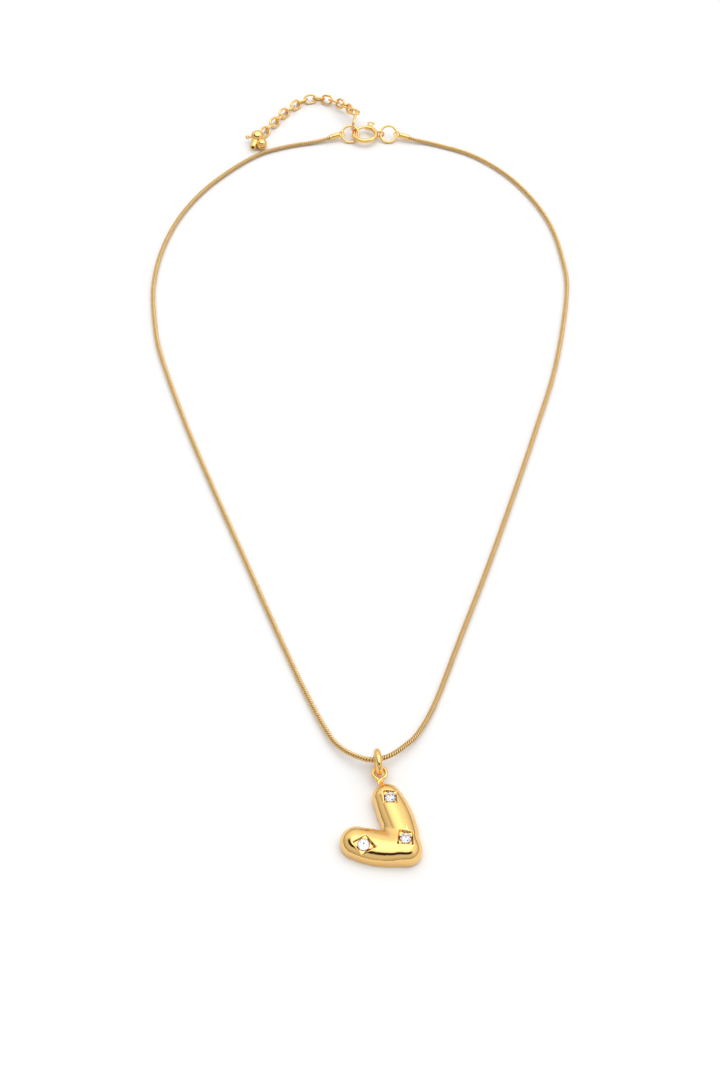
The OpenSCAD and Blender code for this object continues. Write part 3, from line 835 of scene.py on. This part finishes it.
def surface(field, low, high, step):
    """A closed quad mesh of the surface where field is 0, with its points moved onto it."""
    counts = [int(math.ceil((h - l) / step)) + 1 for l, h in zip(low, high)]
    axes = [l + step * np.arange(n) for l, n in zip(low, counts)]
    grid = np.stack(np.meshgrid(*axes, indexing="ij"), -1)
    value = field(grid)
    inside = value < 0
    cell = [n - 1 for n in counts]
    total = np.zeros(cell + [3])
    hits = np.zeros(cell)
    crossings = []
    for axis in range(3):
        a = [slice(None)] * 3
        b = [slice(None)] * 3
        a[axis], b[axis] = slice(0, -1), slice(1, None)
        va, vb = value[tuple(a)], value[tuple(b)]
        cross = inside[tuple(a)] != inside[tuple(b)]
        crossings.append(cross)
        t = np.where(cross, va / np.where(va == vb, 1, va - vb), 0)
        spot = grid[tuple(a)] + t[..., None] * (grid[tuple(b)] - grid[tuple(a)])
        others = [i for i in range(3) if i != axis]
        for u in (0, 1):
            for v in (0, 1):
                take = [slice(None)] * 3
                take[others[0]] = slice(u, u + cell[others[0]])
                take[others[1]] = slice(v, v + cell[others[1]])
                mask = cross[tuple(take)]
                total[mask] += spot[tuple(take)][mask]
                hits[mask] += 1
    used = hits > 0
    index = np.full(cell, -1)
    index[used] = np.arange(used.sum())
    points = total[used] / hits[used][:, None]
    faces = []
    for axis in range(3):
        others = [i for i in range(3) if i != axis]
        for at in np.argwhere(crossings[axis]):
            if any(not 0 < at[i] < cell[i] for i in others):
                continue
            quad = []
            for u, v in ((1, 1), (0, 1), (0, 0), (1, 0)):
                c = at.copy()
                c[others[0]] -= u
                c[others[1]] -= v
                quad.append(int(index[tuple(c)]))
            start_inside = inside[tuple(at)]
            flip = start_inside == (axis == 1)
            faces.append(quad[::-1] if flip else quad)
    small = step * 0.02
    for _ in range(3):
        v = field(points)
        slope = np.stack([(field(points + small * e) - field(points - small * e)) / (2 * small)
                          for e in np.eye(3)], -1)
        size = np.maximum((slope ** 2).sum(-1), 0.05)
        move = slope * (v / size)[:, None]
        length = np.linalg.norm(move, axis=1, keepdims=True)
        points -= move * np.minimum(1, 0.4 * step / np.maximum(length, 1e-9))
    return points, faces


class NECKLACE_OT_heart(bpy.types.Operator):
    """Make the puffed heart with its star recesses"""

    bl_idname = "necklace.heart"
    bl_label = "Heart"

    def execute(self, context):
        low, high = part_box("heart_body")
        pad = 0.35
        step = 0.09
        points, faces = surface(heart_field, [c / MM - pad for c in low],
                                [c / MM + pad for c in high], step)
        heart = mesh_piece("heart_shell", points, faces, "polished_gold")
        finish_piece(outward(heart), "pendant", "gold", "heart_body")
        return {"FINISHED"}


class NECKLACE_OT_hangers(bpy.types.Operator):
    """Make the bail and the loop soldered to the heart"""

    bl_idname = "necklace.hangers"
    bl_label = "Bail and Loop"

    def execute(self, context):
        centre, axes, spans = main_axes("bail_ring")
        r = (spans[0] - spans[2]) / 2
        bail = wire("bail_wire", place(arc(r, 0, 360, 96), centre, axes), spans[2],
                    "polished_gold", 32)
        finish_piece(bail, "bail", "gold", "bail_ring")
        points = node_points("heart_loop")
        wire_d, outer, spare = 0.62, 2.74, 0.07
        loop_r = (outer - wire_d) / 2
        top = points[:, 1].max()
        far = points[points[:, 1] > top - 0.02]
        low = points[np.abs(points[:, 1] - top) < 0.4]
        mid_z = (low[:, 2].min() + low[:, 2].max()) / 2
        centre = np.array([far[:, 0].mean(), top + spare - outer / 2, mid_z])
        ends = [(0.3, -1.1, 0.08), (0.05, -1.35, 0.12), (-0.16, -1.6, 0.08),
                (-0.25, -1.9, -0.05)]
        start = [(-x, y, -z) for x, y, z in ends[::-1]]
        path = start + arc(loop_r, 240, -60, 48) + ends
        loop = wire("heart_loop_wire", place(smooth_path(path, 3), centre, np.eye(3)), wire_d,
                    "polished_gold")
        knots = [loop]
        for side in (-1, 1):
            bead = lathe("solder", [(r * 0.3, x * 0.3) for r, x in sphere_profile(1, 12)],
                         centre + np.array([side * 0.33, -1.42, -0.05]), np.eye(3),
                         "polished_gold", 20)
            knots.append(bead)
        finish_piece(join("heart_loop_wire", knots), "pendant", "gold", "heart_loop")
        return {"FINISHED"}


def brilliant(name, at, tilt, turn, d):
    """A round brilliant: table, star, kite and girdle facets over a pavilion of eight."""
    r = d / 2
    rows = [
        [(0.56 * r, 22.5 + 45 * k, 0.30) for k in range(8)],
        [(0.80 * r, 45 * k, 0.19) for k in range(8)],
        [(r, 22.5 * k, 0.0) for k in range(16)],
        [(r, 22.5 * k, -0.06) for k in range(16)],
        [(0.32 * r, 45 * k, -0.56) for k in range(8)],
        [(0.0, 0, -0.76)],
    ]
    points, first = [], []
    for row in rows:
        first.append(len(points))
        points += [(q * math.cos(math.radians(a + turn)), q * math.sin(math.radians(a + turn)), h)
                   for q, a, h in row]
    table, kite, upper, lower, low, tip = first
    faces = [tuple(table + k for k in range(8))]
    for k in range(8):
        nxt = (k + 1) % 8
        faces.append((table + k, kite + nxt, table + nxt))
        faces.append((kite + k, table + k, table + (k - 1) % 8))
        faces.append((table + k, kite + k, upper + 2 * k, upper + (2 * k + 1) % 16))
        faces.append((table + k, upper + 2 * k + 1, upper + (2 * k + 2) % 16, kite + nxt))
        faces.append((low + k, lower + 2 * k, lower + (2 * k + 15) % 16))
        faces.append((low + k, lower + (2 * k + 1) % 16, lower + 2 * k))
        faces.append((low + k, low + nxt, lower + 2 * k + 1))
        faces.append((tip, low + nxt, low + k))
    for k in range(16):
        faces.append((upper + k, lower + k, lower + (k + 1) % 16, upper + (k + 1) % 16))
    seen = set()
    unique = []
    for face in faces:
        key = frozenset(face)
        if key not in seen:
            seen.add(key)
            unique.append(face)
    c, s = math.cos(math.radians(tilt)), math.sin(math.radians(tilt))
    axes = [(1, 0, 0), (0, c, s), (0, -s, c)]
    return mesh_piece(name, place(points, at, axes), unique, "clear_stone")


class NECKLACE_OT_stones(bpy.types.Operator):
    """Make the three cut stones"""

    bl_idname = "necklace.stones"
    bl_label = "Stones"

    def execute(self, context):
        for node, at, tilt, turn, _ in STARS:
            stone = brilliant(node + "_cut", at, tilt, turn, STONE_D)
            finish_piece(outward(stone), "pendant", "stone", node, smooth=False)
        return {"FINISHED"}


# ---------------------------------------------------------------- the stage

def area_light(name, place_at, target, size, watts, colour=(1, 1, 1)):
    data = bpy.data.lights.new(name, "AREA")
    data.shape = "RECTANGLE"
    data.size, data.size_y = size
    data.energy = watts
    data.color = colour
    lamp = bpy.data.objects.new(name, data)
    lamp.location = place_at
    aim = Vector(target) - Vector(place_at)
    lamp.rotation_euler = aim.to_track_quat("-Z", "Y").to_euler()
    bpy.context.scene.collection.objects.link(lamp)
    return lamp


# How bright the room is from straight down (0) to straight up (1), on the viewer's side, with
# its dark gap, and on the other sides.
FRONT_LEVELS = ((0.0, 0.06), (0.045, 0.05), (0.08, 0.6), (0.45, 0.85), (0.56, 0.75),
                (0.6, 0.03), (0.77, 0.03), (0.81, 1.4), (1.0, 2.1))
BACK_LEVELS = ((0.0, 0.08), (0.035, 0.1), (0.07, 0.65), (0.35, 1.0), (0.75, 1.3),
               (0.9, 1.8), (1.0, 2.1))


def level_ramp(tree, name, stops):
    """A ramp of grey levels, one stop per (place, level)."""
    ramp = add_node(tree, "ShaderNodeValToRGB")
    ramp.name = name
    while len(ramp.color_ramp.elements) < len(stops):
        ramp.color_ramp.elements.new(0.5)
    for element, (spot, level) in zip(ramp.color_ramp.elements, stops):
        element.position = spot
        element.color = (level, level, level, 1)
    return ramp


def studio_world():
    """A white room with a big soft light above, and a dark gap on the viewer's side."""
    world = bpy.data.worlds.new("studio")
    world.use_nodes = True
    tree = world.node_tree
    link = tree.links.new
    where = add_node(tree, "ShaderNodeTexCoord")
    split = add_node(tree, "ShaderNodeSeparateXYZ")
    link(where.outputs["Generated"], split.inputs[0])
    front = level_ramp(tree, "front", FRONT_LEVELS)
    back = level_ramp(tree, "back", BACK_LEVELS)
    for ramp in (front, back):
        link(split.outputs["Z"], ramp.inputs[0])
    aim = add_node(tree, "ShaderNodeVectorMath", operation="DOT_PRODUCT")
    aim.inputs[1].default_value = (-0.5, -0.87, 0.0)
    link(where.outputs["Generated"], aim.inputs[0])
    side = add_node(tree, "ShaderNodeMapRange", interpolation_type="SMOOTHSTEP",
                    i_1=-0.05, i_2=0.35, i_3=0.0, i_4=1.0)
    link(aim.outputs["Value"], side.inputs[0])
    both = add_node(tree, "ShaderNodeMix", data_type="RGBA")
    link(side.outputs[0], both.inputs["Factor"])
    link(back.outputs[0], both.inputs["A"])
    link(front.outputs[0], both.inputs["B"])
    seen = add_node(tree, "ShaderNodeLightPath")
    plain = add_node(tree, "ShaderNodeMix", data_type="RGBA")
    link(seen.outputs["Is Camera Ray"], plain.inputs["Factor"])
    link(both.outputs["Result"], plain.inputs["A"])
    plain.inputs["B"].default_value = (1, 1, 1, 1)
    link(plain.outputs["Result"], tree.nodes["Background"].inputs[0])
    return world


class NECKLACE_OT_stage(bpy.types.Operator):
    """Lay the table and set the soft studio lights"""

    bl_idname = "necklace.stage"
    bl_label = "Stage"

    def execute(self, context):
        half = 900
        table = mesh_piece("table", [(-half, -half, 0), (half, -half, 0), (half, half, 0),
                                     (-half, half, 0)], [(0, 1, 2, 3)], "table_card")
        context.scene.world = studio_world()
        area_light("key", (0.3, 0.25, 0.6), (0, 0.08, 0), (0.35, 0.35), 0.45)
        context.scene.view_settings.view_transform = "Standard"
        context.scene.view_settings.look = "None"
        return {"FINISHED"}


OPERATORS = (
    NECKLACE_OT_camera, NECKLACE_OT_chain, NECKLACE_OT_caps, NECKLACE_OT_rings,
    NECKLACE_OT_clasp, NECKLACE_OT_drop, NECKLACE_OT_heart, NECKLACE_OT_hangers,
    NECKLACE_OT_stones, NECKLACE_OT_stage,
)


class NECKLACE_PT_panel(bpy.types.Panel):
    """Sizes, colours and the steps that make the necklace"""

    bl_idname = "NECKLACE_PT_panel"
    bl_label = "Pendant Necklace"
    bl_space_type = "VIEW_3D"
    bl_region_type = "UI"
    bl_category = "Necklace"

    def draw(self, context):
        layout = self.layout
        for settings in (context.scene.necklace_sizes, context.scene.necklace_colours):
            column = layout.column(align=True)
            for key in settings.__annotations__:
                column.prop(settings, key)
        for operator in OPERATORS:
            layout.operator(operator.bl_idname)


CLASSES = (NecklaceSizes, NecklaceColours, *OPERATORS, NECKLACE_PT_panel)


def register():
    for cls in CLASSES:
        bpy.utils.register_class(cls)
    bpy.types.Scene.necklace_sizes = bpy.props.PointerProperty(type=NecklaceSizes)
    bpy.types.Scene.necklace_colours = bpy.props.PointerProperty(type=NecklaceColours)


def unregister():
    del bpy.types.Scene.necklace_colours
    del bpy.types.Scene.necklace_sizes
    for cls in reversed(CLASSES):
        bpy.utils.unregister_class(cls)


def main():
    register()
    for operator in OPERATORS:
        group, name = operator.bl_idname.split(".")
        getattr(getattr(bpy.ops, group), name)()


if __name__ == "__main__":
    main()
